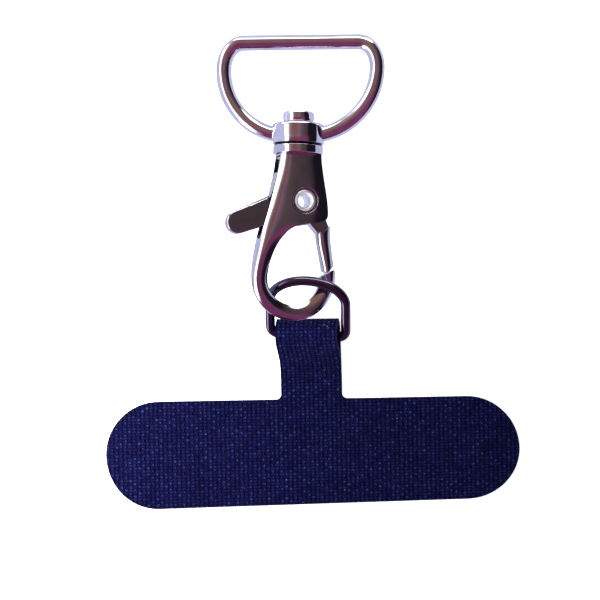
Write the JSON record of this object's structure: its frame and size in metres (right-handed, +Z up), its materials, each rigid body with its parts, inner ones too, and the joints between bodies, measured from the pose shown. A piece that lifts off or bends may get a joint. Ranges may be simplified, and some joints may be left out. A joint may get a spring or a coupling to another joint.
{
  "type": "phone tether",
  "caption": "Phone tether: a woven tab that sits inside a phone case, with a small D-ring in its fold and a swivel lobster clasp for a strap.",
  "frame": {"origin": "middle of the bounding box, on the surface that the tether lies on", "axes": "+X to the right along the pad, +Y from the pad towards the strap loop, +Z up from the surface"},
  "size_m": [0.065, 0.0734, 0.0093],
  "materials": {
    "navy_cloth": "plain weave, matt",
    "dark_nickel": "polished dark nickel",
    "clasp_chrome": "polished",
    "trigger_chrome": "polished, slightly scuffed",
    "bright_chrome": "polished"
  },
  "bodies": {
    "tab": {"cloth_tab": "navy_cloth"},
    "clasp": {"tab_ring": "dark_nickel", "clasp_body": "clasp_chrome", "pivot_eyelet": "bright_chrome", "swivel_post": "bright_chrome"},
    "lever": {"trigger": "trigger_chrome"},
    "strap_end": {"strap_loop": "bright_chrome"}
  },
  "joints": [
    {"name": "ring_swing", "type": "hinge", "parent": "tab", "child": "clasp", "pos_m": [-0.00041, -0.01002, 0.00297], "axis": [0.9818, -0.0773, 0.1736], "range_deg": [0, 115]},
    {"name": "trigger_press", "type": "hinge", "parent": "clasp", "child": "lever", "pos_m": [-0.00111, 0.01069, 0.0046], "axis": [-0.3038, -0.0508, -0.9514], "range_deg": [0, 15], "stiffness_Nm_per_rad": 0.02},
    {"name": "swivel", "type": "hinge", "parent": "clasp", "child": "strap_end", "pos_m": [-0.00132, 0.0211, 0.00411], "axis": [0.0417, 0.9969, -0.0665], "continuous": true}
  ]
}
